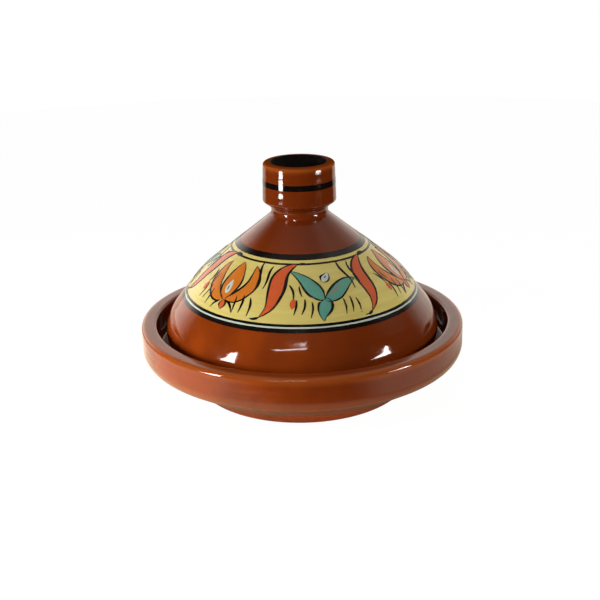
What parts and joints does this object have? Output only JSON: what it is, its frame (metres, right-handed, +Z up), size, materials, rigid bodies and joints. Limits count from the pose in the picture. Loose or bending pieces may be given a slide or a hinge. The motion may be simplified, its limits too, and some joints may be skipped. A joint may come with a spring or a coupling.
{
  "type": "tagine pot",
  "caption": "Glazed clay tagine pot: a round footed dish and a loose conical lid with an open cup knob and a painted band, for slow cooking and serving.",
  "frame": {"origin": "centre of the foot, on the surface that the pot stands on", "axes": "+Z up along the pot's axis, the way the lid lifts off; the pot is round, so +X and +Y are free"},
  "size_m": [0.3, 0.3, 0.2152],
  "materials": {
    "brown_glaze": "gloss",
    "bare_clay": "matte",
    "black_slip": "gloss",
    "yellow_slip": "gloss",
    "pale_slip": "gloss",
    "red_slip": "gloss",
    "orange_slip": "gloss",
    "teal_slip": "gloss"
  },
  "bodies": {
    "dish": {"dish": "brown_glaze"},
    "lid": {"lid_cone": "brown_glaze", "lid_knob": "brown_glaze"}
  },
  "joints": [
    {"name": "lid_lift", "type": "slide", "parent": "dish", "child": "lid", "axis": [0, 0, 1], "range_m": [0, 0.2]}
  ]
}
